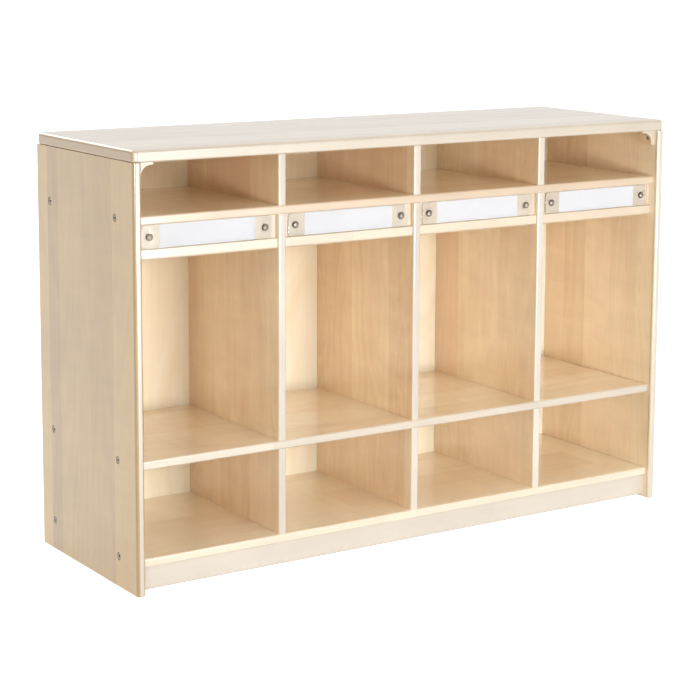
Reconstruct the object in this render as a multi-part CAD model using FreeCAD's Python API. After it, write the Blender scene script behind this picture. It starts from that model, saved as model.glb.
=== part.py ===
"""Four-bay children's coat locker: maple casework, cubbies above and below, a name label and a hook per bay.

Millimetres.  +Z is up and the open front faces -Y.  The origin is on the floor, under the middle of the
locker.  Each sub-part is written to its own STEP file in parts/.
"""

import FreeCAD, Part
import math
import os

Vector = FreeCAD.Vector
X_AXIS = Vector(1, 0, 0)
Y_AXIS = Vector(0, 1, 0)
Z_AXIS = Vector(0, 0, 1)

# ---- Driving dimensions -------------------------------------------------------------------------------

WIDTH = 1219.0            # outside, 48 in
DEPTH = 400.0             # outside, front of the sides to their back edges
HEIGHT = 800.0            # floor to the top surface
BOARD = 16.0              # sides, shelves, dividers and kick board
TOP_BOARD = 22.0          # top panel
BAYS = 4

UPPER_SHELF_TOP = 683.0   # heights of the three shelf surfaces
LOWER_SHELF_TOP = 244.0
BASE_SHELF_TOP = 65.0

SHELF_RECESS = 10.0       # how far fronts stand behind the front edges of the sides
DIVIDER_RECESS = 14.0
KICK_RECESS = 19.0
FLOOR_GAP = 5.0           # under the kick board and the back

SIDE_ROUND = 6.0          # rounded front edges of the sides
SIDE_BACK_ROUND = 2.0
TOP_CORNER_ROUND = 12.0   # top panel's corners, seen from above
TOP_UPPER_ROUND = 6.0
TOP_LOWER_ROUND = 4.0
BOARD_ROUND = 3.0         # front edges of shelves, dividers and kick board
SHELF_END_ROUND = 3.0     # upright front corners of the shelves

BACK_THICKNESS = 9.0      # plywood back, in grooves
BACK_FACE_DEPTH = 358.0   # from the front edges of the sides to the back's front face
GROOVE_DEPTH = 6.0
GROOVE_PLAY = 0.2         # gap on each side of the back in its grooves

DOWEL_RADIUS = 4.0
DOWEL_PLAY = 0.05         # gap all round a dowel in its hole
DOWEL_BURY = 7.5          # dowel length in the face of a board
DOWEL_REACH = 20.0        # dowel length in the end of a board
DOWEL_END_GAP = 0.5       # empty bottom of each dowel hole

BOLT_RADIUS = 3.0         # side connector bolts
BOLT_LENGTH = 60.0
BOLT_HEAD_RADIUS = 7.0
BOLT_HEAD_THICKNESS = 2.4
BOLT_HEAD_SINK = 0.6      # head below the side's outer face
BOLT_HEAD_ROUND = 0.8
BOLT_PLAY = 0.3
BOLT_END_GAP = 2.0        # beyond the bolt's end in the shelf
SOCKET_FLATS = 4.0        # hexagon socket, across flats
SOCKET_DEPTH = 3.5
FRONT_BOLT_DEPTH = 75.0   # from the front edges of the sides
BACK_BOLT_DEPTH = 345.0
NUT_RADIUS = 5.0          # barrel nuts, let into the shelves from below
NUT_LENGTH = 12.0
NUT_INSET = 37.0          # from the shelf's end to the nut's axis
NUT_PLAY = 0.2
THREAD_PLAY = 0.05        # between a bolt and its nut

RAIL_HEIGHT = 64.0        # label rail, under the upper shelf in each bay
RAIL_THICKNESS = 19.0
RAIL_RECESS = 18.0        # lip's front, behind the front edges of the sides
RAIL_LIP_HEIGHT = 19.5
RAIL_REBATE = 6.0         # depth of the step that the plate stands in
RAIL_END_GAP = 0.3
RAIL_LOWER_ROUND = 5.0
RAIL_LIP_ROUND = 1.5
RAIL_DOWEL_OFFSET = 90.0

PLATE_WIDTH = 267.0       # clear cover of the name card
PLATE_HEIGHT = 42.0
PLATE_THICKNESS = 2.0
PLATE_CORNER = 6.0
PLATE_EDGE_ROUND = 0.6
PLATE_FOOT_GAP = 0.4      # above the lip
CARD_WIDTH = 195.0
CARD_HEIGHT = 41.0
CARD_THICKNESS = 0.4
CARD_PLAY = 0.2           # between the card and its cover
LABEL_SCREW_OFFSET = 118.0

WASHER_RADIUS = 6.5       # cup washers under the label screws
WASHER_THICKNESS = 1.2
WASHER_ROUND = 0.7
LABEL_HEAD_RADIUS = 4.8
LABEL_HEAD_HEIGHT = 2.6
SCREW_RADIUS = 2.0        # every wood screw
SCREW_PLAY = 0.1
SCREW_POINT = 4.0
SCREW_END_GAP = 1.0       # beyond the point of a screw
DOME_SHARE = 0.65         # of a domed head's height, above its upright rim
LABEL_SCREW_GRIP = 10.0
RECESS_WIDTH = 1.2        # arms of a cross recess
RECESS_LENGTH = 4.6
RECESS_DEPTH = 1.6

BLOCK_LEG = 30.0          # corner blocks under the top panel
BLOCK_TOE = 5.5           # thinnest wood, at the middle of the hollow's ends
BLOCK_HOLLOW = 20.0       # radius of the hollow face
BLOCK_TOE_ROUND = 2.0
BLOCK_DEPTH = 32.0
BLOCK_RECESS = 15.0
BLOCK_SCREW_RISE = 17.0   # from the corner to each screw's axis
BLOCK_SIDE_SCREW = 9.0    # from the block's front to the screw into the side
BLOCK_TOP_SCREW = 23.0    # and to the screw into the top
BLOCK_SCREW_SEAT = 6.0    # wood under the head
PAN_HEAD_RADIUS = 4.0
PAN_HEAD_HEIGHT = 2.4
PAN_SEAT_PLAY = 0.5
BLOCK_SCREW_GRIP = 11.0

HOOK_DEPTH = 190.0        # hook's axis, from the front edges of the sides
HOOK_PLATE_LENGTH = 62.0
HOOK_PLATE_WIDTH = 18.0
HOOK_PLATE_CORNER = 8.5
HOOK_PLATE_THICKNESS = 3.0
HOOK_SCREW_OFFSET = 22.0
HOOK_DROP = 64.0          # shelf to the lowest point of the hook
HOOK_RADIUS = 3.5         # of the bar
HOOK_BEND = 15.0          # of each prong, to the bar's middle
HOOK_TIP_RISE = 5.0
HOOK_BALL_RADIUS = 5.2
HOOK_SCREW_GRIP = 11.0

BACK_SCREW_HEAD_RADIUS = 4.0
BACK_SCREW_HEAD_HEIGHT = 2.6
BACK_SCREW_GRIP = 18.0

# ---- Places worked out from them ----------------------------------------------------------------------

LEFT = -WIDTH / 2
RIGHT = WIDTH / 2
FRONT = -DEPTH / 2
REAR = DEPTH / 2
INNER_LEFT = LEFT + BOARD
INNER_RIGHT = RIGHT - BOARD
BAY_WIDTH = (INNER_RIGHT - INNER_LEFT - (BAYS - 1) * BOARD) / BAYS
TOP_UNDERSIDE = HEIGHT - TOP_BOARD

SHELF_FRONT = FRONT + SHELF_RECESS
DIVIDER_FRONT = FRONT + DIVIDER_RECESS
BLOCK_FRONT = FRONT + BLOCK_RECESS
BACK_FRONT = FRONT + BACK_FACE_DEPTH
BACK_REAR = BACK_FRONT + BACK_THICKNESS

SHELF_TOPS = {"upper": UPPER_SHELF_TOP, "lower": LOWER_SHELF_TOP, "base": BASE_SHELF_TOP}
TIERS = {                 # each row of dividers: its lower and upper ends
    "upper": (UPPER_SHELF_TOP, TOP_UNDERSIDE),
    "coat": (LOWER_SHELF_TOP, UPPER_SHELF_TOP - BOARD),
    "lower": (BASE_SHELF_TOP, LOWER_SHELF_TOP - BOARD),
}
DOWEL_DEPTHS = {          # dowels of each row, from the front; rows are staggered through a shelf
    "upper": (110.0, 290.0),
    "coat": (80.0, 260.0),
    "lower": (110.0, 290.0),
}
SHELF_DOWEL_DEPTHS = (140.0, 250.0)
SIDE_DOWEL_DEPTHS = (60.0, 190.0, 320.0)
KICK_DOWEL_PLACES = (-400.0, 0.0, 400.0)
BOLT_DEPTHS = (FRONT_BOLT_DEPTH, BACK_BOLT_DEPTH)

RAIL_TOP = UPPER_SHELF_TOP - BOARD
RAIL_BOTTOM = RAIL_TOP - RAIL_HEIGHT
RAIL_FRONT = FRONT + RAIL_RECESS
RAIL_SEAT = RAIL_FRONT + RAIL_REBATE
RAIL_BACK = RAIL_FRONT + RAIL_THICKNESS
PLATE_BOTTOM = RAIL_BOTTOM + RAIL_LIP_HEIGHT + PLATE_FOOT_GAP
LABEL_MIDDLE = PLATE_BOTTOM + PLATE_HEIGHT / 2
CARD_FRONT = RAIL_SEAT - CARD_THICKNESS
PLATE_BACK = CARD_FRONT - CARD_PLAY
PLATE_FRONT = PLATE_BACK - PLATE_THICKNESS
WASHER_FRONT = PLATE_FRONT - WASHER_THICKNESS


def bay_left(bay):
    """X of a bay's left wall; bays count from 1 at the left."""
    return INNER_LEFT + (bay - 1) * (BAY_WIDTH + BOARD)


def bay_middle(bay):
    return bay_left(bay) + BAY_WIDTH / 2


def divider_middle(number):
    """X of the middle of the divider that follows bay `number`."""
    return bay_left(number) + BAY_WIDTH + BOARD / 2


# ---- Plain shapes -------------------------------------------------------------------------------------

def block(x0, x1, y0, y1, z0, z1):
    return Part.makeBox(x1 - x0, y1 - y0, z1 - z0, Vector(x0, y0, z0))


def rod(radius, start, direction, length):
    return Part.makeCylinder(radius, length, start, direction)


def runs_along(edge, direction):
    """True for a straight edge that is parallel to the direction."""
    ends = [vertex.Point for vertex in edge.Vertexes]
    if len(ends) != 2 or not isinstance(edge.Curve, Part.Line):
        return False
    return abs((ends[1] - ends[0]).normalize().dot(direction)) > 0.999


def edges_where(shape, direction, test):
    """The straight edges along the direction whose middle passes the test."""
    return [
        edge for edge in shape.Edges
        if runs_along(edge, direction) and test(edge.CenterOfMass)
    ]


def cut_all(shape, tools):
    return shape.cut(Part.makeCompound(tools)) if tools else shape


def turned(profile):
    """A solid of revolution about +Z from an outline of edges in the XZ plane."""
    return Part.Face(Part.Wire(profile)).revolve(Vector(0, 0, 0), Z_AXIS, 360)


def lines(points):
    return [Part.makeLine(start, end) for start, end in zip(points, points[1:])]


def cross_recess(top):
    """Two crossed bars that reach down from the height `top` on the Z axis."""
    long, short = RECESS_LENGTH / 2, RECESS_WIDTH / 2
    bars = [
        block(-long, long, -short, short, top - RECESS_DEPTH, top + 1),
        block(-short, short, -long, long, top - RECESS_DEPTH, top + 1),
    ]
    return Part.makeCompound(bars)


def moved(shape, seat, outward):
    """Set a shape that stands on the origin along +Z onto the seat, along the outward direction."""
    placed = shape.copy()
    placed.Placement = FreeCAD.Placement(seat, FreeCAD.Rotation(Z_AXIS, outward))
    return placed


def pan_screw(head_radius, head_height, length):
    """Wood screw along +Z: a shank below the origin, a domed head with a cross recess above it."""
    rise = head_height * DOME_SHARE
    dome_radius = (rise ** 2 + head_radius ** 2) / (2 * rise)
    half_angle = math.asin(head_radius / dome_radius) / 2
    rim = Vector(head_radius, 0, head_height - rise)
    crown = Vector(0, 0, head_height)
    shoulder = Vector(
        dome_radius * math.sin(half_angle), 0, head_height - dome_radius * (1 - math.cos(half_angle))
    )
    outline = lines([
        crown,
        Vector(0, 0, -length),
        Vector(SCREW_RADIUS, 0, -length + SCREW_POINT),
        Vector(SCREW_RADIUS, 0, 0),
        Vector(head_radius, 0, 0),
        rim,
    ])
    outline.append(Part.Arc(rim, shoulder, crown).toShape())
    return turned(outline).cut(cross_recess(head_height))


def flat_screw(play=0.0, end_gap=0.0):
    """Countersunk wood screw along +Z, its head flush with the origin; with play and a gap, its hole."""
    head = BACK_SCREW_HEAD_RADIUS + play
    shank = SCREW_RADIUS + play
    reach = BACK_THICKNESS + BACK_SCREW_GRIP + end_gap
    return turned(lines([
        Vector(0, 0, 0),
        Vector(0, 0, -reach),
        Vector(shank, 0, -reach + SCREW_POINT),
        Vector(shank, 0, -BACK_SCREW_HEAD_HEIGHT),
        Vector(head, 0, 0),
        Vector(0, 0, 0),
    ]))


# ---- Dowels: one list of places serves both the pins and their holes ----------------------------------

def dowel_hole(start, direction, length):
    margin = DOWEL_END_GAP
    return rod(DOWEL_RADIUS + DOWEL_PLAY, start - direction * margin, direction, length + 2 * margin)


def divider_dowels(tier):
    """Pins in both ends of each divider of a row: (start, direction, length)."""
    low, high = TIERS[tier]
    places = []
    for number in range(1, BAYS):
        x = divider_middle(number)
        for depth in DOWEL_DEPTHS[tier]:
            y = FRONT + depth
            length = DOWEL_BURY + DOWEL_REACH
            places.append((Vector(x, y, low - DOWEL_BURY), Z_AXIS, length))
            places.append((Vector(x, y, high + DOWEL_BURY), Z_AXIS * -1, length))
    return places


def shelf_dowels(name):
    """Pins between the ends of a shelf and the sides."""
    z = SHELF_TOPS[name] - BOARD / 2
    places = []
    for depth in SHELF_DOWEL_DEPTHS:
        y = FRONT + depth
        length = DOWEL_BURY + DOWEL_REACH
        places.append((Vector(INNER_LEFT - DOWEL_BURY, y, z), X_AXIS, length))
        places.append((Vector(INNER_RIGHT + DOWEL_BURY, y, z), X_AXIS * -1, length))
    return places


def top_dowels():
    """Pins between the sides and the top panel."""
    return [
        (Vector(x, FRONT + depth, TOP_UNDERSIDE + DOWEL_BURY), Z_AXIS * -1, DOWEL_BURY + DOWEL_REACH)
        for x in (LEFT + BOARD / 2, RIGHT - BOARD / 2)
        for depth in SIDE_DOWEL_DEPTHS
    ]


def kick_dowels():
    """Pins up into the base shelf, and out of both ends into the sides."""
    y = FRONT + KICK_RECESS + BOARD / 2
    z = (FLOOR_GAP + BASE_SHELF_TOP - BOARD) / 2
    underside = BASE_SHELF_TOP - BOARD
    length = DOWEL_BURY + DOWEL_REACH
    places = [(Vector(x, y, underside + DOWEL_BURY), Z_AXIS * -1, length) for x in KICK_DOWEL_PLACES]
    places.append((Vector(INNER_LEFT - DOWEL_BURY, y, z), X_AXIS, length))
    places.append((Vector(INNER_RIGHT + DOWEL_BURY, y, z), X_AXIS * -1, length))
    return places


def rail_dowels():
    """Pins between the label rails and the underside of the upper shelf."""
    y = (RAIL_SEAT + RAIL_BACK) / 2
    return [
        (Vector(bay_middle(bay) + side * RAIL_DOWEL_OFFSET, y, RAIL_TOP + DOWEL_BURY), Z_AXIS * -1,
         DOWEL_BURY + DOWEL_REACH)
        for bay in range(1, BAYS + 1)
        for side in (-1, 1)
    ]


def pins(places):
    return Part.makeCompound([rod(DOWEL_RADIUS, *place) for place in places])


def holes(places):
    return [dowel_hole(*place) for place in places]


# ---- Connector bolts and barrel nuts ------------------------------------------------------------------

def bolt_places():
    """(y, z) of the bolts on each side: two for every shelf."""
    return [
        (FRONT + depth, top - BOARD / 2)
        for top in SHELF_TOPS.values()
        for depth in BOLT_DEPTHS
    ]


def side_face(side):
    """X of a side's outer face and the direction from it into the locker; side is -1 left, 1 right."""
    return side * WIDTH / 2, X_AXIS * -side


def hexagon(centre, flats, direction, depth):
    """A hexagonal prism about an axis along X."""
    corner = flats / math.sqrt(3)
    points = []
    for step in range(7):
        angle = math.radians(60 * step)
        points.append(centre + Y_AXIS * (corner * math.cos(angle)) + Z_AXIS * (corner * math.sin(angle)))
    return Part.Face(Part.makePolygon(points)).extrude(direction * depth)


def connector_bolt(side, y, z):
    face, inward = side_face(side)
    crown = Vector(face, y, z) + inward * BOLT_HEAD_SINK
    seat = crown + inward * BOLT_HEAD_THICKNESS
    head = rod(BOLT_HEAD_RADIUS, crown, inward, BOLT_HEAD_THICKNESS)
    rim = [edge for edge in head.Edges if abs(edge.CenterOfMass.x - crown.x) < 0.01]
    head = head.makeFillet(BOLT_HEAD_ROUND, rim)
    shank = rod(BOLT_RADIUS, seat, inward, BOLT_LENGTH - BOLT_HEAD_THICKNESS)
    socket = hexagon(crown, SOCKET_FLATS, inward, SOCKET_DEPTH)
    return head.fuse(shank).cut(socket)


def bolt_way_in_side(side, y, z):
    """Through-hole and counterbore in a side panel."""
    face, inward = side_face(side)
    start = Vector(face, y, z)
    sink = BOLT_HEAD_SINK + BOLT_HEAD_THICKNESS
    return [
        rod(BOLT_HEAD_RADIUS + BOLT_PLAY, start, inward, sink),
        rod(BOLT_RADIUS + BOLT_PLAY, start, inward, BOARD),
    ]


def bolt_way_in_shelf(side, y, z):
    """Hole for the bolt's shank, and the barrel nut's hole from below."""
    face, inward = side_face(side)
    end = Vector(face, y, z) + inward * BOARD
    nut_foot = end + inward * NUT_INSET - Z_AXIS * (BOARD / 2)
    shank_reach = BOLT_LENGTH - BOARD + BOLT_END_GAP
    return [
        rod(BOLT_RADIUS + BOLT_PLAY, end, inward, shank_reach),
        rod(NUT_RADIUS + NUT_PLAY, nut_foot, Z_AXIS, BOARD / 2 + NUT_LENGTH / 2),
    ]


def barrel_nut(side, y, z):
    face, inward = side_face(side)
    middle = Vector(face, y, z) + inward * (BOARD + NUT_INSET)
    barrel = rod(NUT_RADIUS, middle - Z_AXIS * (NUT_LENGTH / 2), Z_AXIS, NUT_LENGTH)
    thread = rod(BOLT_RADIUS + THREAD_PLAY, middle - inward * NUT_RADIUS * 2, inward, NUT_RADIUS * 4)
    return barrel.cut(thread)


# ---- Places of the small screws -----------------------------------------------------------------------

def label_screw_places(bay):
    return [
        Vector(bay_middle(bay) + side * LABEL_SCREW_OFFSET, WASHER_FRONT, LABEL_MIDDLE)
        for side in (-1, 1)
    ]


def hook_middle(bay):
    """Point on the underside of the upper shelf, over the hook's stem."""
    return Vector(bay_middle(bay), FRONT + HOOK_DEPTH, RAIL_TOP)


def hook_screw_places(bay):
    seat = hook_middle(bay) - Z_AXIS * HOOK_PLATE_THICKNESS
    return [seat + X_AXIS * (side * HOOK_SCREW_OFFSET) for side in (-1, 1)]


def back_screw_places():
    """Points on the back's rear face: along each shelf, and up each tall divider."""
    along_shelves = [
        Vector(bay_middle(bay), BACK_REAR, top - BOARD / 2)
        for top in SHELF_TOPS.values()
        for bay in range(1, BAYS + 1)
    ]
    low, high = TIERS["coat"]
    up_dividers = [
        Vector(divider_middle(number), BACK_REAR, low + share * (high - low))
        for number in range(1, BAYS)
        for share in (0.25, 0.75)
    ]
    return along_shelves + up_dividers


def block_screw_places(side):
    """(seat, outward direction) of the two screws in a corner block."""
    wall = side * WIDTH / 2 - side * BOARD
    into_side = Vector(
        wall - side * BLOCK_SCREW_SEAT, BLOCK_FRONT + BLOCK_SIDE_SCREW, TOP_UNDERSIDE - BLOCK_SCREW_RISE
    )
    into_top = Vector(
        wall - side * BLOCK_SCREW_RISE, BLOCK_FRONT + BLOCK_TOP_SCREW, TOP_UNDERSIDE - BLOCK_SCREW_SEAT
    )
    return [(into_side, X_AXIS * -side), (into_top, Z_AXIS * -1)]


def screw_way(seat, outward, length):
    """Hole for a screw's shank, with a little room at its end."""
    return rod(SCREW_RADIUS + SCREW_PLAY, seat, outward * -1, length + SCREW_END_GAP)


# ---- Casework -----------------------------------------------------------------------------------------

def back_groove(lower, upper):
    """Room for the edges of the back, GROOVE_DEPTH into both sides and the top."""
    return block(
        INNER_LEFT - GROOVE_DEPTH, INNER_RIGHT + GROOVE_DEPTH,
        BACK_FRONT - GROOVE_PLAY, BACK_REAR + GROOVE_PLAY,
        lower, upper,
    )


def top_panel():
    slab = block(LEFT, RIGHT, FRONT, REAR, TOP_UNDERSIDE, HEIGHT)
    slab = slab.makeFillet(TOP_CORNER_ROUND, edges_where(slab, Z_AXIS, lambda middle: True))
    upper_rim = [edge for edge in slab.Edges if abs(edge.BoundBox.ZMin - HEIGHT) < 0.01]
    slab = slab.makeFillet(TOP_UPPER_ROUND, upper_rim)
    lower_rim = [edge for edge in slab.Edges if abs(edge.BoundBox.ZMax - TOP_UNDERSIDE) < 0.01]
    slab = slab.makeFillet(TOP_LOWER_ROUND, lower_rim)
    tools = holes(top_dowels() + divider_dowels("upper"))
    tools.append(back_groove(TOP_UNDERSIDE, TOP_UNDERSIDE + GROOVE_DEPTH))
    for side in (-1, 1):
        seat, outward = block_screw_places(side)[1]
        tools.append(screw_way(seat, outward, BLOCK_SCREW_SEAT + BLOCK_SCREW_GRIP))
    return cut_all(slab, tools)


def side_panel(side):
    outer, inward = side_face(side)
    inner = outer + inward.x * BOARD
    panel = block(min(outer, inner), max(outer, inner), FRONT, REAR, 0, TOP_UNDERSIDE)
    fronts = edges_where(panel, Z_AXIS, lambda middle: middle.y < 0)
    panel = panel.makeFillet(SIDE_ROUND, fronts)
    backs = edges_where(panel, Z_AXIS, lambda middle: middle.y > REAR - 0.01)
    panel = panel.makeFillet(SIDE_BACK_ROUND, backs)
    pin_places = top_dowels() + kick_dowels()
    for name in SHELF_TOPS:
        pin_places += shelf_dowels(name)
    tools = [hole for hole in holes(pin_places) if hole.CenterOfMass.x * side > 0]
    for y, z in bolt_places():
        tools += bolt_way_in_side(side, y, z)
    seat, outward = block_screw_places(side)[0]
    tools.append(screw_way(seat, outward, BLOCK_SCREW_SEAT + BLOCK_SCREW_GRIP))
    tools.append(back_groove(0, TOP_UNDERSIDE))
    return cut_all(panel, tools)


def back_panel():
    edge = GROOVE_DEPTH - GROOVE_PLAY
    sheet = block(
        INNER_LEFT - edge, INNER_RIGHT + edge, BACK_FRONT, BACK_REAR, FLOOR_GAP, TOP_UNDERSIDE + edge
    )
    return cut_all(sheet, back_screw_holes())


def runs_round_front(edge, top):
    """True for the upper and lower edges round the front of a shelf, its rounded corners included."""
    bounds = edge.BoundBox
    level = bounds.ZLength < 0.01
    on_rim = abs(bounds.ZMin - top) < 0.01 or abs(bounds.ZMin - (top - BOARD)) < 0.01
    return level and on_rim and bounds.YMax < SHELF_FRONT + SHELF_END_ROUND + 0.01


def shelf(name):
    top = SHELF_TOPS[name]
    board = block(INNER_LEFT, INNER_RIGHT, SHELF_FRONT, BACK_FRONT, top - BOARD, top)
    corners = edges_where(board, Z_AXIS, lambda middle: middle.y < 0)
    board = board.makeFillet(SHELF_END_ROUND, corners)
    rims = [edge for edge in board.Edges if runs_round_front(edge, top)]
    board = board.makeFillet(BOARD_ROUND, rims)
    pin_places = shelf_dowels(name)
    for tier, ends in TIERS.items():
        if top in ends or top - BOARD in ends:
            pin_places += divider_dowels(tier)
    if name == "base":
        pin_places += kick_dowels()
    tools = []
    for side in (-1, 1):
        for y, z in bolt_places():
            if abs(z - (top - BOARD / 2)) < 0.01:
                tools += bolt_way_in_shelf(side, y, z)
    if name == "upper":
        pin_places += rail_dowels()
        for bay in range(1, BAYS + 1):
            for seat in hook_screw_places(bay):
                tools.append(screw_way(seat, Z_AXIS * -1, HOOK_PLATE_THICKNESS + HOOK_SCREW_GRIP))
    tools += back_screw_holes()
    return cut_all(board, holes(pin_places) + tools)


def divider(tier, number):
    low, high = TIERS[tier]
    x = divider_middle(number)
    board = block(x - BOARD / 2, x + BOARD / 2, DIVIDER_FRONT, BACK_FRONT, low, high)
    fronts = edges_where(board, Z_AXIS, lambda middle: middle.y < 0)
    board = board.makeFillet(BOARD_ROUND, fronts)
    tools = holes(divider_dowels(tier))
    tools += back_screw_holes()
    near = [tool for tool in tools if tool.BoundBox.intersect(board.BoundBox)]
    return cut_all(board, near)


def kick_board():
    front = FRONT + KICK_RECESS
    board = block(INNER_LEFT, INNER_RIGHT, front, front + BOARD, FLOOR_GAP, BASE_SHELF_TOP - BOARD)
    low_fronts = edges_where(
        board, X_AXIS, lambda middle: middle.y < front + 1 and middle.z < FLOOR_GAP + 1
    )
    board = board.makeFillet(BOARD_ROUND, low_fronts)
    return cut_all(board, holes(kick_dowels()))


# ---- Name labels --------------------------------------------------------------------------------------

def label_rail(bay):
    """Apron under the upper shelf: a step for the plate over a proud, rounded lip."""
    x0 = bay_left(bay) + RAIL_END_GAP
    x1 = bay_left(bay) + BAY_WIDTH - RAIL_END_GAP
    rail = block(x0, x1, RAIL_FRONT, RAIL_BACK, RAIL_BOTTOM, RAIL_TOP)
    rail = rail.cut(block(x0, x1, RAIL_FRONT, RAIL_SEAT, RAIL_BOTTOM + RAIL_LIP_HEIGHT, RAIL_TOP))
    foot = edges_where(rail, X_AXIS, lambda middle: middle.z < RAIL_BOTTOM + 1)
    rail = rail.makeFillet(RAIL_LOWER_ROUND, foot)
    lip_top = RAIL_BOTTOM + RAIL_LIP_HEIGHT
    lip = edges_where(
        rail, X_AXIS, lambda middle: abs(middle.z - lip_top) < 0.01 and middle.y < RAIL_FRONT + 1
    )
    rail = rail.makeFillet(RAIL_LIP_ROUND, lip)
    tools = [hole for hole in holes(rail_dowels()) if x0 < hole.CenterOfMass.x < x1]
    for seat in label_screw_places(bay):
        tools.append(screw_way(seat, Y_AXIS * -1, label_screw_length()))
    return cut_all(rail, tools)


def label_screw_length():
    return (RAIL_SEAT - WASHER_FRONT) + LABEL_SCREW_GRIP


def label_plate(bay):
    x = bay_middle(bay)
    plate = block(
        x - PLATE_WIDTH / 2, x + PLATE_WIDTH / 2, PLATE_FRONT, PLATE_BACK,
        PLATE_BOTTOM, PLATE_BOTTOM + PLATE_HEIGHT,
    )
    plate = plate.makeFillet(PLATE_CORNER, edges_where(plate, Y_AXIS, lambda middle: True))
    front_rim = [edge for edge in plate.Edges if abs(edge.BoundBox.YMax - PLATE_FRONT) < 0.01]
    plate = plate.makeFillet(PLATE_EDGE_ROUND, front_rim)
    tools = [
        rod(SCREW_RADIUS + SCREW_PLAY, place, Y_AXIS, WASHER_THICKNESS + PLATE_THICKNESS + 1)
        for place in label_screw_places(bay)
    ]
    return cut_all(plate, tools)


def label_card(bay):
    x = bay_middle(bay)
    lower = PLATE_BOTTOM + (PLATE_HEIGHT - CARD_HEIGHT) / 2
    return block(
        x - CARD_WIDTH / 2, x + CARD_WIDTH / 2, CARD_FRONT, RAIL_SEAT, lower, lower + CARD_HEIGHT
    )


def label_screws(bay):
    screw = pan_screw(LABEL_HEAD_RADIUS, LABEL_HEAD_HEIGHT, label_screw_length())
    return Part.makeCompound([moved(screw, place, Y_AXIS * -1) for place in label_screw_places(bay)])


def label_washers():
    washers = []
    for bay in range(1, BAYS + 1):
        for place in label_screw_places(bay):
            ring = rod(WASHER_RADIUS, place, Y_AXIS, WASHER_THICKNESS)
            rim = [edge for edge in ring.Edges if abs(edge.CenterOfMass.y - place.y) < 0.01]
            ring = ring.makeFillet(WASHER_ROUND, rim)
            washers.append(ring.cut(rod(SCREW_RADIUS + SCREW_PLAY, place, Y_AXIS, WASHER_THICKNESS)))
    return Part.makeCompound(washers)


# ---- Corner blocks ------------------------------------------------------------------------------------

def corner_block(side):
    """Hollow-faced block in the top outer corner of an end cubby."""
    wall = side * WIDTH / 2 - side * BOARD
    far = wall - side * BLOCK_LEG
    low = TOP_UNDERSIDE - BLOCK_LEG
    body = block(min(wall, far), max(wall, far), BLOCK_FRONT, BLOCK_FRONT + BLOCK_DEPTH, low, TOP_UNDERSIDE)
    to_axis = BLOCK_TOE + BLOCK_HOLLOW
    axis = Vector(wall - side * to_axis, BLOCK_FRONT, TOP_UNDERSIDE - to_axis)
    body = body.cut(rod(BLOCK_HOLLOW, axis, Y_AXIS, BLOCK_DEPTH))
    toe_edges = edges_where(
        body, Y_AXIS, lambda middle: is_toe_edge(abs(middle.x - wall), TOP_UNDERSIDE - middle.z)
    )
    body = body.makeFillet(BLOCK_TOE_ROUND, toe_edges)
    tools = []
    for seat, outward in block_screw_places(side):
        tools.append(rod(PAN_HEAD_RADIUS + PAN_SEAT_PLAY, seat, outward, BLOCK_LEG))
        tools.append(screw_way(seat, outward, BLOCK_LEG))
    return cut_all(body, tools)


def is_toe_edge(from_wall, from_top):
    """True where the hollow ends, at the tip of either leg of a corner block."""
    near, tip = min(from_wall, from_top), max(from_wall, from_top)
    return near > BLOCK_TOE and tip > BLOCK_LEG - 0.01


def corner_block_screws(side):
    screw = pan_screw(PAN_HEAD_RADIUS, PAN_HEAD_HEIGHT, BLOCK_SCREW_SEAT + BLOCK_SCREW_GRIP)
    return Part.makeCompound([moved(screw, *place) for place in block_screw_places(side)])


# ---- Coat hooks ---------------------------------------------------------------------------------------

def hook_prong(foot, side):
    """Half a ring from the stem round to a short upright with a ball on its end."""
    centre = foot + X_AXIS * (side * HOOK_BEND)
    ring = Part.makeTorus(HOOK_BEND, HOOK_RADIUS, centre, Y_AXIS, -180, 180, 360)
    below = block(
        centre.x - HOOK_BEND * 2, centre.x + HOOK_BEND * 2,
        centre.y - HOOK_BEND, centre.y + HOOK_BEND,
        centre.z - HOOK_BEND * 2, centre.z,
    )
    tip = centre + X_AXIS * (side * HOOK_BEND)
    upright = rod(HOOK_RADIUS, tip, Z_AXIS, HOOK_TIP_RISE)
    ball = Part.makeSphere(HOOK_BALL_RADIUS, tip + Z_AXIS * HOOK_TIP_RISE)
    return ring.common(below).fuse([upright, ball])


def coat_hook(bay):
    """Double hook under the upper shelf: base plate, stem and two prongs."""
    top = hook_middle(bay)
    plate = block(
        top.x - HOOK_PLATE_LENGTH / 2, top.x + HOOK_PLATE_LENGTH / 2,
        top.y - HOOK_PLATE_WIDTH / 2, top.y + HOOK_PLATE_WIDTH / 2,
        top.z - HOOK_PLATE_THICKNESS, top.z,
    )
    ends = edges_where(plate, Z_AXIS, lambda middle: True)
    plate = plate.makeFillet(HOOK_PLATE_CORNER, ends)
    foot = top - Z_AXIS * (HOOK_DROP - HOOK_RADIUS - HOOK_BEND)
    stem = rod(HOOK_RADIUS, foot, Z_AXIS, top.z - foot.z - HOOK_PLATE_THICKNESS / 2)
    hook = plate.fuse([stem, hook_prong(foot, -1), hook_prong(foot, 1)])
    ways = [
        rod(SCREW_RADIUS + SCREW_PLAY, seat, Z_AXIS, HOOK_PLATE_THICKNESS)
        for seat in hook_screw_places(bay)
    ]
    return cut_all(hook, ways)


def coat_hook_screws():
    screw = pan_screw(PAN_HEAD_RADIUS, PAN_HEAD_HEIGHT, HOOK_PLATE_THICKNESS + HOOK_SCREW_GRIP)
    return Part.makeCompound([
        moved(screw, seat, Z_AXIS * -1)
        for bay in range(1, BAYS + 1)
        for seat in hook_screw_places(bay)
    ])


# ---- Back screws --------------------------------------------------------------------------------------

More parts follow.
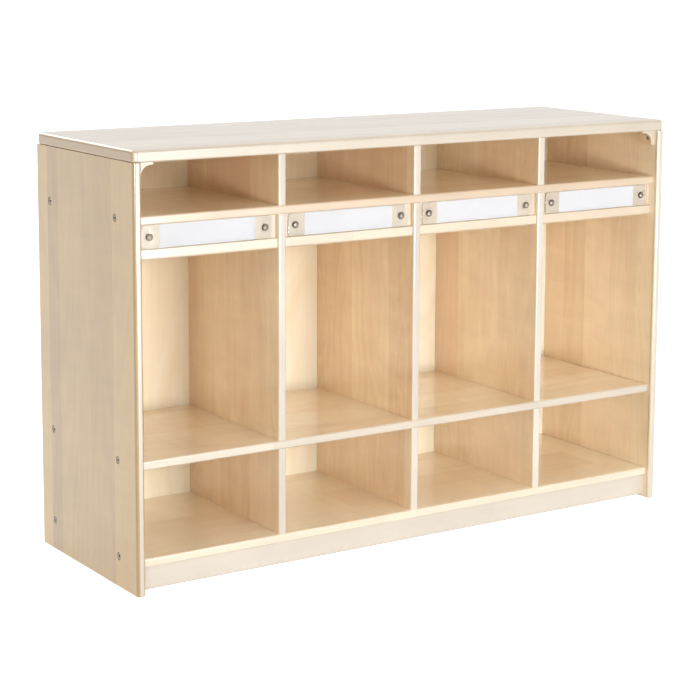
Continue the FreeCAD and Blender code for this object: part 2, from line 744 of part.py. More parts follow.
def back_screw_holes():
    hole = flat_screw(SCREW_PLAY, SCREW_END_GAP)
    return [moved(hole, place, Y_AXIS) for place in back_screw_places()]


def back_panel_screws():
    screw = flat_screw().cut(cross_recess(0))
    return Part.makeCompound([moved(screw, place, Y_AXIS) for place in back_screw_places()])


# ---- Every node, by name ------------------------------------------------------------------------------

def all_nodes():
    nodes = {
        "top_panel": top_panel(),
        "left_side_panel": side_panel(-1),
        "right_side_panel": side_panel(1),
        "back_panel": back_panel(),
        "back_panel_screws": back_panel_screws(),
        "kick_board": kick_board(),
        "kick_board_dowels": pins(kick_dowels()),
        "top_panel_dowels": pins(top_dowels()),
        "label_rail_dowels": pins(rail_dowels()),
        "label_washers": label_washers(),
        "coat_hook_screws": coat_hook_screws(),
        "shelf_dowels": pins([place for name in SHELF_TOPS for place in shelf_dowels(name)]),
    }
    for name in SHELF_TOPS:
        nodes[f"{name}_shelf"] = shelf(name)
    for tier in TIERS:
        nodes[f"{tier}_divider_dowels"] = pins(divider_dowels(tier))
        for number in range(1, BAYS):
            nodes[f"{tier}_divider_{number}"] = divider(tier, number)
    for bay in range(1, BAYS + 1):
        nodes[f"label_rail_{bay}"] = label_rail(bay)
        nodes[f"label_plate_{bay}"] = label_plate(bay)
        nodes[f"label_card_{bay}"] = label_card(bay)
        nodes[f"label_screws_{bay}"] = label_screws(bay)
        nodes[f"coat_hook_{bay}"] = coat_hook(bay)
    for side, word in ((-1, "left"), (1, "right")):
        bolts = [connector_bolt(side, y, z) for y, z in bolt_places()]
        nuts = [barrel_nut(side, y, z) for y, z in bolt_places()]
        nodes[f"{word}_connector_bolts"] = Part.makeCompound(bolts)
        nodes[f"{word}_barrel_nuts"] = Part.makeCompound(nuts)
        nodes[f"corner_block_{word}"] = corner_block(side)
        nodes[f"corner_block_screws_{word}"] = corner_block_screws(side)
    return nodes


os.makedirs("parts", exist_ok=True)
for node, shape in all_nodes().items():
    if not shape.isValid() or not shape.Solids:
        raise ValueError(f"{node} is not a valid solid")
    shape.exportStep(f"parts/{node}.step")
    print(f"{node}: {len(shape.Solids)} solid(s), {shape.Volume / 1000:.1f} cm3")
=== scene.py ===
"""Looks of the four-bay coat locker: materials, floor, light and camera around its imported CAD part.

Metres, in the part's own frame: +Z is up and the open front faces -Y.
"""

import math

import bpy
from mathutils import Matrix, Vector


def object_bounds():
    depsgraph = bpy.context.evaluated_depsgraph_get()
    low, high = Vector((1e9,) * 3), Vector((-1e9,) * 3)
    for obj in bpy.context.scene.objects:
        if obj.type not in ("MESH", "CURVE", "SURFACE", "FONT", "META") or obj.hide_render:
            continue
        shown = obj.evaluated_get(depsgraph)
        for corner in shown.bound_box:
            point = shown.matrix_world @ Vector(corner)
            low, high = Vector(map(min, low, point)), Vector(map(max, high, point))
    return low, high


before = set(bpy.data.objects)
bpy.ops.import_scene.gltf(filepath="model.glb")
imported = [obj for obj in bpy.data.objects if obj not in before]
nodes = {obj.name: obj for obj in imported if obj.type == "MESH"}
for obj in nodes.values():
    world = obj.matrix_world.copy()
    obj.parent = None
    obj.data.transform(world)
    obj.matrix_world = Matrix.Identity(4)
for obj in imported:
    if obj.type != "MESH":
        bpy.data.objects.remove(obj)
cad_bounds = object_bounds()

AXES = "XYZ"

# ---- Colours (linear) ---------------------------------------------------------------------------------

MAPLE = {"pale": (0.90, 0.73, 0.49), "tan": (0.68, 0.44, 0.23), "pink": (0.80, 0.54, 0.34)}
# a darker, more saturated copy of MAPLE for the left side panel: painted shade
LEFT_SIDE_SHADED_MAPLE = {"pale": (0.64, 0.40, 0.115), "tan": (0.37, 0.20, 0.045), "pink": (0.51, 0.29, 0.07)}
# a paler copy of MAPLE for the shelves: painted light on the shelf tops
SHELF_PAINTED_LIGHT_MAPLE = {"pale": (0.97, 0.84, 0.62), "tan": (0.78, 0.57, 0.34), "pink": (0.86, 0.65, 0.44)}
MAPLE_STREAK = (0.43, 0.27, 0.15)
MAPLE_END = (0.49, 0.33, 0.15)
MAPLE_END_DARK = (0.39, 0.245, 0.10)
# colours of faces to the front and back: partly the paler edge wood, partly painted shade, as they are
# drawn darker than the boards' faces to offset the strong frontal light; SOFT, PALE and BRIGHT step up from
# left to right as painted light
FRONT_SOFT = (0.455, 0.395, 0.32)
FRONT_PALE = (0.51, 0.445, 0.365)
FRONT_BRIGHT = (0.54, 0.48, 0.405)
FRONT_CREAM = (0.505, 0.435, 0.34)
FRONT_BUFF = (0.50, 0.43, 0.335)
FRONT_TAN = (0.555, 0.415, 0.28)
FRONT_HONEY = (0.585, 0.485, 0.36)
FRONT_AMBER = (0.575, 0.46, 0.33)
PLY_PALE = (0.96, 0.90, 0.73)
PLY_TAN = (0.90, 0.73, 0.45)
PLY_CORE = (0.52, 0.34, 0.18)
BEECH_PALE = (0.74, 0.55, 0.36)
BEECH_TAN = (0.60, 0.41, 0.24)
ACRYLIC_COOL = (0.97, 0.98, 0.98)
ACRYLIC_WARM = (0.99, 0.99, 0.98)
CARD_WHITE = (0.735, 0.725, 0.75)
CARD_SHADE = (0.68, 0.67, 0.695)
STEEL_LIGHT = (0.36, 0.32, 0.27)
STEEL_DARK = (0.19, 0.165, 0.135)
DARK_BROWN_STEEL_LIGHT = (0.12, 0.095, 0.07)
DARK_BROWN_STEEL_DARK = (0.06, 0.045, 0.033)
CAST_LIGHT = (0.72, 0.71, 0.69)
CAST_DARK = (0.50, 0.49, 0.47)
FLOOR_LIGHT = (0.90, 0.90, 0.90)
FLOOR_SHADE = (0.86, 0.86, 0.86)
WHITE = (1.0, 1.0, 1.0)

# ---- Figure of the wood -------------------------------------------------------------------------------

# how fast each pattern changes, per metre along the grain, over the width and through the thickness
MAPLE_STREAK_RATES = (2.4, 52.0, 52.0)
MAPLE_SWELL_RATES = (1.5, 7.5, 7.5)
MAPLE_FIBRE_RATES = (26.0, 900.0, 900.0)
MAPLE_CURL_RATES = (34.0, 9.0, 9.0)
MAPLE_MINERAL_RATES = (9.0, 48.0, 20.0)
PLY_FIELD_RATES = (0.9, 3.6, 0.0)
PLY_STREAK_RATES = (2.0, 70.0, 70.0)
PLY_FIBRE_RATES = (24.0, 800.0, 800.0)
BEECH_RAY_RATES = (90.0, 900.0, 900.0)
SCRATCH_RATES = (2600.0, 700.0, 500.0)

STAVE_UNEVENNESS = 11.0    # changes of width per metre of board
RING_RATE = 130.0          # growth rings per metre
PITH_WANDER_RATE = 1.7     # bends of the pith per metre
PITH_WANDER = 0.16         # how far it bends
PITH_NEAREST = 0.03        # least and greatest offset of the pith through the thickness
PITH_FURTHEST = 0.10
MAPLE_ARCHES = 15.0        # height lines from the lowest to the highest place of a swell
VENEER_ARCHES = 26.0
PLY_LAYER = 0.0018

# how far each pattern changes a maple board's darkness
RING_SHARE = 0.35
ARCH_SHARE = 0.60
STREAK_SHARE = 0.60
MOTTLE_SHARE = 0.90
MEAN_DARKNESS = 0.30       # of a board whose tone is 0
PINK_SHARE = 0.42          # greatest share of pink in a stave's colour

GLUE_LINE = (0.0002, 0.0011)       # distances from the joint, darkest and faded
# painted shade: the rounded front edge of a panel is drawn darker than its flat faces
PAINTED_EDGE_SHADE_BRIGHTNESS = 0.66     # of a panel's rounded front edge, against its flat faces

# brightness of the front colour over pale and over tan wood
FRONT_OVER_PALE = 1.05
FRONT_OVER_TAN = 0.83

# how squarely a face looks forward or back where its front colour begins and where it is full
FRONT_FADE = (0.15, 0.80)
EDGED_FRONT_FADE = (0.88, 0.99)    # on panels with a rounded front edge

# ---- Places, light and camera -------------------------------------------------------------------------

FRONT = cad_bounds[0].y
# in front of this place the side panels' rounded edge is drawn darker as painted shade
SIDE_SHADED_EDGE_BACK = FRONT + 0.0075      # back of the side panels' rounded front edge
FLOOR_RADIUS = 60.0
FLOOR_SIDES = 96
FLOOR_LEVEL = -0.0002

WORLD_ABOVE = 0.84
WORLD_BELOW = 0.25
HORIZON = 0.05             # half the height of the change between them

CAMERA_PLACE = Vector((-2.1586, -3.2399, 1.1540))
CAMERA_YAW = 0.581         # turn to the right of straight ahead, radians
CAMERA_PITCH = -0.151      # tilt
CAMERA_ROLL = 0.005
CAMERA_LENS = 101.8        # mm
CAMERA_SENSOR = 36.0       # mm
CAMERA_SHIFT = -0.15


# ---- Node graphs --------------------------------------------------------------------------------------

class Graph:
    """A new material, with short calls that add nodes to it and return their output sockets."""

    def __init__(self, name):
        self.material = bpy.data.materials.new(name)
        self.material.use_nodes = True
        self.tree = self.material.node_tree
        self.shader = self.tree.nodes["Principled BSDF"]
        self.place = self.add("ShaderNodeTexCoord").outputs["Object"]

    def add(self, kind, **settings):
        node = self.tree.nodes.new(kind)
        for key, value in settings.items():
            setattr(node, key, value)
        return node

    def feed(self, socket, value):
        """Link a socket to another, or set it to a number or colour."""
        if isinstance(value, bpy.types.NodeSocket):
            self.tree.links.new(value, socket)
        elif isinstance(value, tuple) and len(socket.default_value) == 4:
            socket.default_value = (*value, 1.0)
        else:
            socket.default_value = value

    def math(self, operation, first, second=0.0, third=0.0):
        node = self.add("ShaderNodeMath", operation=operation)
        for socket, value in zip(node.inputs, (first, second, third)):
            self.feed(socket, value)
        return node.outputs[0]

    def line(self, value, start, end):
        """A number that goes straight from start to end while the value goes from 0 to 1."""
        return self.math("MULTIPLY_ADD", value, end - start, start)

    def split(self, vector):
        node = self.add("ShaderNodeSeparateXYZ")
        self.feed(node.inputs[0], vector)
        return list(node.outputs)

    def join(self, x, y, z):
        node = self.add("ShaderNodeCombineXYZ")
        for socket, value in zip(node.inputs, (x, y, z)):
            self.feed(socket, value)
        return node.outputs[0]

    def noise(self, vector, scale=1.0, detail=2.0, roughness=0.5, distortion=0.0):
        node = self.add("ShaderNodeTexNoise")
        self.feed(node.inputs["Vector"], vector)
        node.inputs["Scale"].default_value = scale
        node.inputs["Detail"].default_value = detail
        node.inputs["Roughness"].default_value = roughness
        node.inputs["Distortion"].default_value = distortion
        return node.outputs[0]

    def stretched_noise(self, place, rates, shifts=(0.0, 0.0, 0.0), **settings):
        """Noise with a rate and a shift of its own on each of three axes."""
        moved = [
            self.math("MULTIPLY_ADD", value, rate, shift)
            for value, rate, shift in zip(place, rates, shifts)
        ]
        return self.noise(self.join(*moved), **settings)

    def bands(self, value, detail):
        """Noise along one number, for growth rings and uneven widths."""
        node = self.add("ShaderNodeTexNoise", noise_dimensions="1D")
        self.feed(node.inputs["W"], value)
        node.inputs["Scale"].default_value = 1.0
        node.inputs["Detail"].default_value = detail
        return node.outputs[0]

    def chance(self, x, y, z):
        """Three random numbers from 0 to 1 that stay the same for the same three inputs."""
        node = self.add("ShaderNodeTexWhiteNoise")
        self.feed(node.inputs["Vector"], self.join(x, y, z))
        return self.split(node.outputs["Color"])

    def ease(self, value, low, high, start=0.0, end=1.0):
        """A smooth change from start to end while the value goes from low to high."""
        node = self.add("ShaderNodeMapRange", interpolation_type="SMOOTHSTEP")
        for socket, number in zip(node.inputs, (value, low, high, start, end)):
            self.feed(socket, number)
        return node.outputs[0]

    def mix(self, share, first, second):
        """A colour between the first (share 0) and the second (share 1)."""
        node = self.add("ShaderNodeMix", data_type="RGBA", clamp_factor=True)
        self.feed(node.inputs[0], share)
        self.feed(node.inputs[6], first)
        self.feed(node.inputs[7], second)
        return node.outputs[2]

    def shade(self, colour, brightness):
        """The colour times a brightness."""
        node = self.add("ShaderNodeVectorMath", operation="SCALE")
        self.feed(node.inputs[0], colour)
        self.feed(node.inputs["Scale"], brightness)
        return node.outputs[0]

    def vary(self, colour, pattern, amount):
        """The colour made darker or lighter by up to the amount, as a pattern goes from 0 to 1."""
        return self.shade(colour, self.line(pattern, 1 - amount, 1 + amount))

    def bump(self, height, strength, distance):
        node = self.add("ShaderNodeBump")
        node.inputs["Strength"].default_value = strength
        node.inputs["Distance"].default_value = distance
        self.feed(node.inputs["Height"], height)
        self.feed(self.shader.inputs["Normal"], node.outputs[0])

    def facing(self, axis):
        """How squarely the surface faces along an axis of the part, from 0 to 1."""
        normal = self.split(self.add("ShaderNodeNewGeometry").outputs["True Normal"])
        return self.math("ABSOLUTE", normal[AXES.index(axis)])

    def set(self, **values):
        """Set or link inputs of the shader by name, with _ for each space."""
        for name, value in values.items():
            self.feed(self.shader.inputs[name.replace("_", " ")], value)


# ---- Wood ---------------------------------------------------------------------------------------------

def other_axis(first, second):
    """The name of the third axis."""
    return next(axis for axis in AXES if axis not in (first, second))


def board_place(g, grain, across):
    """The place along the grain, over the width and through the thickness of a board."""
    place = dict(zip(AXES, g.split(g.place)))
    return [place[axis] for axis in (grain, across, other_axis(grain, across))]


def lacquer(g, gloss=1.0, roughness=0.10):
    """A clear coat over the wood."""
    g.set(Coat_Weight=gloss, Coat_Roughness=roughness, Coat_IOR=1.5, Specular_IOR_Level=0.8)


def lay_staves(g, along, side, seed, stave, section):
    """Divide a board into glued staves of uneven width, joined end to end from sections.

    Returns the place counted in staves, the stave's number and three random numbers of the section.
    """
    uneven = g.bands(g.math("MULTIPLY_ADD", side, STAVE_UNEVENNESS, seed * 3.7), detail=0.0)
    strip = g.math("ADD", g.math("MULTIPLY_ADD", side, 1 / stave, seed * 0.37), uneven)
    number = g.math("FLOOR", strip)
    first_joint = g.math("MULTIPLY", g.chance(number, seed, 1.5)[0], 9.0)
    section_number = g.math("FLOOR", g.math("MULTIPLY_ADD", along, 1 / section, first_joint))
    return strip, number, g.chance(number, section_number, seed + 0.5)


def growth_rings(g, place, strip, stave, chances):
    """Rings about a pith that lies off the stave and wanders along it."""
    along, _, depth = place
    tint, pith_side, pith_depth = chances
    bends = g.math("MULTIPLY_ADD", along, PITH_WANDER_RATE, g.math("MULTIPLY", tint, 40.0))
    wander = g.line(g.bands(bends, detail=2.0), -PITH_WANDER / 2, PITH_WANDER / 2)
    ring_side = g.math("SUBTRACT", g.math("FRACT", strip), pith_side)
    ring_side = g.math("ADD", g.math("MULTIPLY", ring_side, stave), wander)
    ring_depth = g.math("ADD", depth, g.line(pith_depth, PITH_NEAREST, PITH_FURTHEST))
    squares = g.math("ADD", g.math("POWER", ring_side, 2.0), g.math("POWER", ring_depth, 2.0))
    radius = g.math("SQRT", squares)
    return g.bands(g.math("MULTIPLY_ADD", radius, RING_RATE, g.math("MULTIPLY", tint, 60.0)), detail=3.0)


def flat_sawn_arches(g, place, seed, tint):
    """The height lines of a slow swell drawn out along the grain."""
    shifts = (g.math("MULTIPLY", tint, 23.0), seed, 0.0)
    swell = g.stretched_noise(place, MAPLE_SWELL_RATES, shifts, detail=1.0, distortion=0.5)
    return g.bands(g.math("MULTIPLY", swell, MAPLE_ARCHES), detail=3.0)


def paint_front(g, colour, front, darkness, side, shaded_edge_back):
    """Give faces to the front and back a colour of their own, partly the paler edge wood and partly painted
    shade, and darken a rounded front edge as painted shade.
    """
    # partly painted shade: the front colour is darker than the faces to offset the strong frontal light
    front_colour = g.shade(front, g.line(darkness, FRONT_OVER_PALE, FRONT_OVER_TAN))
    fade = FRONT_FADE if shaded_edge_back is None else EDGED_FRONT_FADE
    colour = g.mix(g.ease(g.facing("Y"), *fade), colour, front_colour)
    if shaded_edge_back is None:
        return colour
    # painted shade: the rounded front edge, in front of the side face and off the flat front face, is drawn
    # darker
    behind_edge = g.ease(side, shaded_edge_back - 0.002, shaded_edge_back + 0.001)
    flat_front = g.ease(g.facing("Y"), 0.90, 0.99)
    flat = g.math("MAXIMUM", behind_edge, flat_front)
    return g.shade(colour, g.math("MAXIMUM", flat, PAINTED_EDGE_SHADE_BRIGHTNESS))


def paint_ends(g, colour, grain, rings):
    """Show the pores and rings of end grain where the surface faces along the fibres."""
    pores = g.noise(g.place, scale=1500.0, detail=1.0)
    end_colour = g.mix(g.line(rings, 0.2, 0.9), MAPLE_END, MAPLE_END_DARK)
    end_colour = g.vary(end_colour, pores, amount=0.14)
    return g.mix(g.ease(g.facing(grain), 0.80, 0.95), colour, end_colour)


def maple(name, grain, across, seed, tone=0.0, spread=0.50, stave=0.095, section=4.0, contrast=1.0,
          shaded_edge_back=None, paint=MAPLE, front=FRONT_PALE):
    """Lacquered hard maple, edge-glued from staves.

    grain and across name the axes along the fibres and over the board's width.  tone shifts the whole
    board from pale (negative) to tan, and spread is how far its staves differ from each other.  stave
    and section are about the width and length of one stave.  contrast is the strength of the figure.
    The argument for the back of a rounded front edge gives its place on the across axis; in front of that
    place the edge is darkened as painted shade.
    front is the colour of faces to the front and back, partly painted shade.

    The odd factors of seed, tint and stave number only move staves to different parts of a pattern.
    """
    g = Graph(name)
    place = board_place(g, grain, across)
    along, side, _ = place
    strip, number, chances = lay_staves(g, along, side, seed, stave, section)
    tint, pith_side, _ = chances

    rings = growth_rings(g, place, strip, stave, chances)
    arches = flat_sawn_arches(g, place, seed, tint)
    streak_shifts = (g.math("MULTIPLY", number, 7.3), seed, 0.0)
    streaks = g.stretched_noise(place, MAPLE_STREAK_RATES, streak_shifts, detail=4.0, roughness=0.62)
    mottle = g.noise(g.place, scale=6.5, detail=3.0)
    fibres = g.stretched_noise(place, MAPLE_FIBRE_RATES)
    curl = g.stretched_noise(place, MAPLE_CURL_RATES, distortion=0.6)
    mineral_shifts = (seed * 1.9, 0.0, 0.0)
    mineral = g.stretched_noise(place, MAPLE_MINERAL_RATES, mineral_shifts, detail=3.0, roughness=0.6)

    middle = MEAN_DARKNESS + tone
    darkness = g.line(tint, middle - spread / 2, middle + spread / 2)
    for pattern, share in (
        (rings, RING_SHARE), (arches, ARCH_SHARE), (streaks, STREAK_SHARE), (mottle, MOTTLE_SHARE),
    ):
        half = share * contrast / 2
        darkness = g.math("ADD", darkness, g.line(pattern, -half, half))
    colour = g.mix(darkness, paint["pale"], paint["tan"])
    colour = g.mix(g.math("MULTIPLY", g.ease(pith_side, 0.3, 1.0), PINK_SHARE), colour, paint["pink"])
    colour = g.mix(g.ease(mineral, 0.69, 0.82, end=0.45), colour, MAPLE_STREAK)
    colour = g.vary(colour, fibres, amount=0.09)
    colour = g.vary(colour, curl, amount=0.08)
    to_glue_line = g.math("MULTIPLY", g.math("PINGPONG", strip, 0.5), stave)
    colour = g.shade(colour, g.ease(to_glue_line, *GLUE_LINE, start=0.94))
    colour = paint_front(g, colour, front, darkness, side, shaded_edge_back)
    colour = paint_ends(g, colour, grain, rings)

    g.set(Base_Color=colour, Roughness=g.line(fibres, 0.30, 0.46))
    lacquer(g)
    g.bump(fibres, strength=0.10, distance=0.00012)
    return g.material


def plywood(name, grain, across, seed):
    """Rotary-cut maple veneer on a cross-laminated core whose layers show at the edges."""
    g = Graph(name)
    place = board_place(g, grain, across)
    along, side, depth = place

    field = g.stretched_noise(place, PLY_FIELD_RATES, (0.0, seed, 0.0), distortion=0.4)
    figure = g.bands(g.math("MULTIPLY", field, VENEER_ARCHES), detail=2.0)
    streaks = g.stretched_noise(place, PLY_STREAK_RATES, detail=3.0, roughness=0.6)
    fibres = g.stretched_noise(place, PLY_FIBRE_RATES)
    # painted light and shade: the sheet is drawn paler to the right and darker towards the top, as the
    # light in the bays falls
    darkness = g.math("MULTIPLY_ADD", figure, 0.55, g.math("MULTIPLY_ADD", side, -0.35, -0.05))
    darkness = g.math("ADD", darkness, g.line(streaks, -0.25, 0.35))
    darkness = g.math("ADD", darkness, g.math("MULTIPLY_ADD", along, 0.9, -0.37))
    colour = g.vary(g.mix(darkness, PLY_PALE, PLY_TAN), fibres, amount=0.05)

    layer = g.math("FLOOR", g.math("MULTIPLY", depth, 1 / PLY_LAYER))
    dark_layer = g.math("MODULO", g.math("ABSOLUTE", layer), 2.0)
    core = g.vary(g.mix(dark_layer, PLY_TAN, PLY_CORE), streaks, amount=0.2)
    colour = g.mix(g.ease(g.facing(other_axis(grain, across)), 0.95, 0.80), colour, core)

    g.set(Base_Color=colour, Roughness=g.line(fibres, 0.32, 0.48))
    lacquer(g, gloss=0.6, roughness=0.14)
    g.bump(fibres, strength=0.08, distance=0.0001)
    return g.material


def beech(name, grain, across):
    """Raw dowel stock with short dark rays along the fibres."""
    g = Graph(name)
    rays = g.stretched_noise(board_place(g, grain, across), BEECH_RAY_RATES)
    cloud = g.noise(g.place, scale=60.0)
    colour = g.mix(g.line(cloud, 0.1, 0.9), BEECH_PALE, BEECH_TAN)
    colour = g.mix(g.ease(rays, 0.58, 0.72, end=0.5), colour, MAPLE_STREAK)
    g.set(Base_Color=colour, Roughness=g.line(rays, 0.55, 0.75))
    g.bump(rays, strength=0.3, distance=0.0003)
    return g.material


# ---- Plastic, card and metal --------------------------------------------------------------------------

def clear_plastic():
    """Polished acrylic with a few faint smears."""
    g = Graph("clear_plastic")
    smears = g.noise(g.place, scale=38.0, detail=4.0, distortion=1.2)
    g.set(
        Base_Color=g.mix(smears, ACRYLIC_COOL, ACRYLIC_WARM),
        Roughness=g.ease(smears, 0.45, 0.75, start=0.02, end=0.09),
        Transmission_Weight=1.0, IOR=1.49, Specular_IOR_Level=0.15,
    )
    return g.material


def white_card():
    """Uncoated card: paper fibres and a slight cloudiness."""
    g = Graph("white_card")
    cloud = g.noise(g.place, scale=24.0, detail=3.0)
    fibres = g.noise(g.place, scale=900.0, detail=3.0, distortion=1.5)
    colour = g.mix(g.math("MULTIPLY", cloud, 0.22), CARD_WHITE, CARD_SHADE)
    g.set(
        Base_Color=g.vary(colour, fibres, amount=0.02),
        Roughness=g.ease(fibres, 0.2, 0.8, start=0.72, end=0.88),
    )
    g.bump(fibres, strength=0.15, distance=0.0001)
    return g.material


def plated_steel(name, light, dark):
    """Zinc-plated steel with dull patches and fine scratches."""
    g = Graph(name)
    patches = g.noise(g.place, scale=260.0, detail=3.0, distortion=0.8)
    scratches = g.stretched_noise(g.split(g.place), SCRATCH_RATES)
    colour = g.mix(g.ease(patches, 0.3, 0.7), light, dark)
    g.set(
        Base_Color=g.vary(colour, scratches, amount=0.12),
        Metallic=1.0, Roughness=g.ease(patches, 0.25, 0.75, start=0.28, end=0.48),
    )
    g.bump(scratches, strength=0.15, distance=0.00005)
    return g.material


def cast_metal():
    """Satin cast alloy with a faint orange-peel skin."""
    g = Graph("hook_metal")
    skin = g.noise(g.place, scale=420.0, detail=3.0)
    cloud = g.noise(g.place, scale=45.0, detail=2.0)
    g.set(
        Base_Color=g.mix(cloud, CAST_LIGHT, CAST_DARK),
        Metallic=1.0, Roughness=g.ease(skin, 0.3, 0.7, start=0.30, end=0.45),
    )
    g.bump(skin, strength=0.25, distance=0.0002)
    return g.material


# ---- Floor, light and camera --------------------------------------------------------------------------

def make_floor():
    """A wide pale disc just under the locker's feet."""
    rim = []
    for step in range(FLOOR_SIDES):
        angle = math.tau * step / FLOOR_SIDES
        rim.append((FLOOR_RADIUS * math.cos(angle), FLOOR_RADIUS * math.sin(angle), FLOOR_LEVEL))
    mesh = bpy.data.meshes.new("floor")
    mesh.from_pydata(rim, [], [list(range(FLOOR_SIDES))])
    floor = bpy.data.objects.new("floor", mesh)
    bpy.context.scene.collection.objects.link(floor)
    g = Graph("pale_floor")
    cloud = g.noise(g.place, scale=1.5, detail=3.0)
    g.set(
        Base_Color=g.mix(cloud, FLOOR_LIGHT, FLOOR_SHADE),
        Roughness=g.ease(cloud, 0.0, 1.0, start=0.75, end=0.85),
        Specular_IOR_Level=0.1, Emission_Color=WHITE, Emission_Strength=0.75,
    )
    mesh.materials.append(g.material)
    floor.visible_diffuse = False


def make_world():
    """White studio walls all round, dimmer below the horizon."""
    world = bpy.data.worlds.new("studio")
    bpy.context.scene.world = world
    world.use_nodes = True
    tree = world.node_tree
    place = tree.nodes.new("ShaderNodeTexCoord")
    axes = tree.nodes.new("ShaderNodeSeparateXYZ")
    rise = tree.nodes.new("ShaderNodeMapRange")
    for socket, number in zip(rise.inputs[1:5], (-HORIZON, HORIZON, WORLD_BELOW, WORLD_ABOVE)):
        socket.default_value = number
    tree.links.new(place.outputs["Generated"], axes.inputs[0])
    tree.links.new(axes.outputs[2], rise.inputs[0])
    tree.links.new(rise.outputs[0], tree.nodes["Background"].inputs["Strength"])
    tree.nodes["Background"].inputs["Color"].default_value = (*WHITE, 1.0)


def add_softbox(name, power, place, target, width, height):
    """A large rectangular lamp that points at the target."""
    data = bpy.data.lights.new(name, "AREA")
    data.energy = power
    data.shape = "RECTANGLE"
    data.size = width
    data.size_y = height
    lamp = bpy.data.objects.new(name, data)
    bpy.context.scene.collection.objects.link(lamp)
    lamp.location = place
    lamp.rotation_euler = (Vector(place) - Vector(target)).to_track_quat("Z", "Y").to_euler()
    return lamp


def make_lights():
    """Three softboxes before the front and left, and a rim lamp behind that shows only in gloss."""
    add_softbox("key", 62.0, place=(0.27, -3.3, 0.17), target=(0.2, 0.0, 0.3), width=1.4, height=0.28)
    add_softbox("upper", 36.0, place=(0.4, -3.4, 1.25), target=(0.2, 0.0, 0.4), width=2.0, height=0.4)
    add_softbox("fill", 98.0, place=(-4.4, -4.5, 0.28), target=(0.0, 0.0, 0.4), width=2.2, height=0.5)
    rim = add_softbox("rim", 50.0, place=(-0.45, 5.0, 3.1), target=(-0.6, 0.0, 0.8), width=1.5,
                      height=2.0)
    rim.visible_diffuse = False


def make_camera():
    """A long lens from the front left, a little higher than the locker."""
    data = bpy.data.cameras.new("camera")
    data.sensor_width = CAMERA_SENSOR
    data.lens = CAMERA_LENS
    data.shift_y = CAMERA_SHIFT
    camera = bpy.data.objects.new("camera", data)
    bpy.context.scene.collection.objects.link(camera)
    forward = Vector((
        math.sin(CAMERA_YAW) * math.cos(CAMERA_PITCH),
        math.cos(CAMERA_YAW) * math.cos(CAMERA_PITCH),
        math.sin(CAMERA_PITCH),
    ))
    level = Vector((math.cos(CAMERA_YAW), -math.sin(CAMERA_YAW), 0.0))
    upright = level.cross(forward)
    right = math.cos(CAMERA_ROLL) * level + math.sin(CAMERA_ROLL) * upright
    up = math.cos(CAMERA_ROLL) * upright - math.sin(CAMERA_ROLL) * level
    turn = Matrix((right, up, -forward)).transposed()
    camera.matrix_world = Matrix.Translation(CAMERA_PLACE) @ turn.to_4x4()
    bpy.context.scene.camera = camera


# ---- Dress every node ---------------------------------------------------------------------------------

def dress(node, material):
    """Give every material slot of a CAD node the material."""
    for slot in nodes[node].material_slots:
        slot.material = material


def dress_sides():
    # the left panel gets a darker maple, a darker tone and a dimmer front than the right: painted shade
    for seed, side, tone, spread, paint, front in (
        (11, "left", 0.10, 0.75, LEFT_SIDE_SHADED_MAPLE, FRONT_SOFT),
        (17, "right", -0.05, 0.50, MAPLE, FRONT_BRIGHT),
    ):
        board = maple(
            f"maple_{side}_side", "Z", "Y", seed, tone, spread, stave=0.075, section=15.0,
            shaded_edge_back=SIDE_SHADED_EDGE_BACK, paint=paint, front=front,
        )
        dress(f"{side}_side_panel", board)


def dress_shelves():
    # the tones step from dark on the upper shelf to pale on the base shelf: painted light and shade for how
    # each shelf top is lit
    for seed, name, tone, front in (
        (23, "upper", 0.15, FRONT_TAN), (29, "lower", 0.0, FRONT_BUFF), (31, "base", -0.50, FRONT_HONEY),
    ):
        board = maple(
            f"maple_{name}_shelf", "X", "Y", seed, tone, section=0.62, contrast=1.25,
            paint=SHELF_PAINTED_LIGHT_MAPLE, front=front,
        )
        dress(f"{name}_shelf", board)


def dress_dividers():
    """Nine dividers, each tier of three with a tone and a front colour for every board. These are painted
    light and shade: each board is darkened or paled for how brightly its bay is lit, and the fronts grow
    brighter from left to right.
    """
    for seed, name, tones in (
        (41, "upper", (0.54, 0.20, -0.05)),
        (48, "coat", (0.10, 0.32, 0.10)),
        (55, "lower", (0.26, 0.08, -0.15)),
    ):
        for number, tone, front in zip((1, 2, 3), tones, (FRONT_SOFT, FRONT_PALE, FRONT_BRIGHT)):
            node = f"{name}_divider_{number}"
            board = maple(f"maple_{node}", "Z", "Y", seed + 2 * number, tone, stave=0.13, front=front)
            dress(node, board)


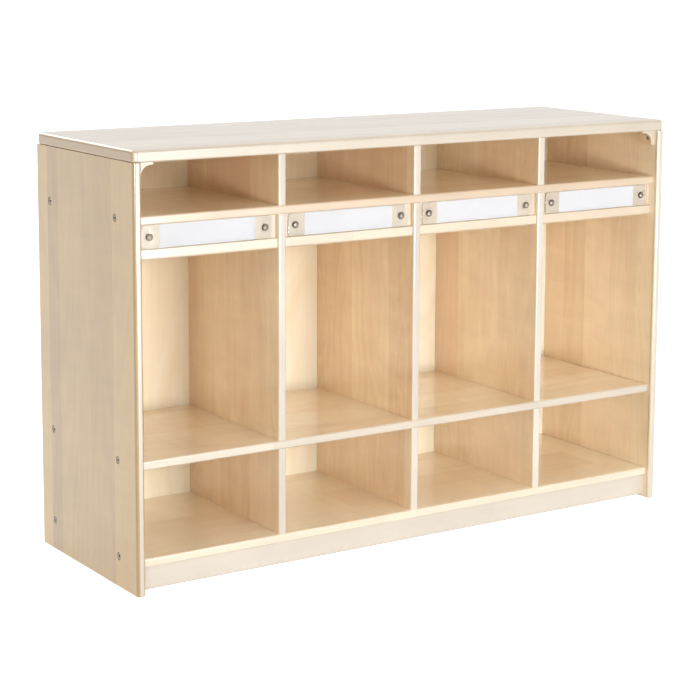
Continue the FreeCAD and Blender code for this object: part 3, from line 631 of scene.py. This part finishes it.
def dress_small_boards():
    """Label rails, kick board and corner blocks."""
    for bay, front in enumerate((FRONT_HONEY, FRONT_HONEY, FRONT_AMBER, FRONT_AMBER), 1):
        rail = f"label_rail_{bay}"
        dress(rail, maple(f"maple_{rail}", "X", "Z", 61 + 3 * bay, tone=-0.02, stave=0.08, front=front))
    kick = maple("maple_kick_board", "X", "Z", 83, tone=-0.06, stave=0.07, section=0.55, contrast=0.8)
    dress("kick_board", kick)
    for side in ("left", "right"):
        block = maple(f"maple_block_{side}", "Z", "X", 89, stave=0.2, contrast=0.5)
        dress(f"corner_block_{side}", block)


def dress_dowels():
    for name in ("top_panel", "upper_divider", "coat_divider", "lower_divider", "label_rail", "kick_board"):
        dress(f"{name}_dowels", beech(f"beech_{name}_dowels", "Z", "X"))
    dress("shelf_dowels", beech("beech_shelf_dowels", "X", "Y"))


def dress_fittings():
    """Label holders, hooks and every metal fixing."""
    plastic = clear_plastic()
    card = white_card()
    cast = cast_metal()
    steel = plated_steel("plated_steel", STEEL_LIGHT, STEEL_DARK)
    for bay in (1, 2, 3, 4):
        dress(f"label_plate_{bay}", plastic)
        dress(f"label_card_{bay}", card)
        dress(f"label_screws_{bay}", steel)
        dress(f"coat_hook_{bay}", cast)
    for side in ("left", "right"):
        dress(f"{side}_connector_bolts", steel)
        dress(f"{side}_barrel_nuts", steel)
        dress(f"corner_block_screws_{side}", steel)
    for name in ("back_panel_screws", "coat_hook_screws"):
        dress(name, steel)
    # the washers are drawn in a dark brown steel
    dress("label_washers", plated_steel("dark_brown_steel", DARK_BROWN_STEEL_LIGHT, DARK_BROWN_STEEL_DARK))


top = maple("maple_top", "X", "Y", seed=3, tone=-0.05, stave=0.085, section=5.0, front=FRONT_CREAM)
dress("top_panel", top)
dress_sides()
dress_shelves()
dress_dividers()
dress_small_boards()
dress("back_panel", plywood("maple_plywood", "Z", "X", seed=5))
dress_dowels()
dress_fittings()

make_floor()
make_world()
make_lights()
make_camera()
bpy.context.scene.view_settings.view_transform = "Standard"
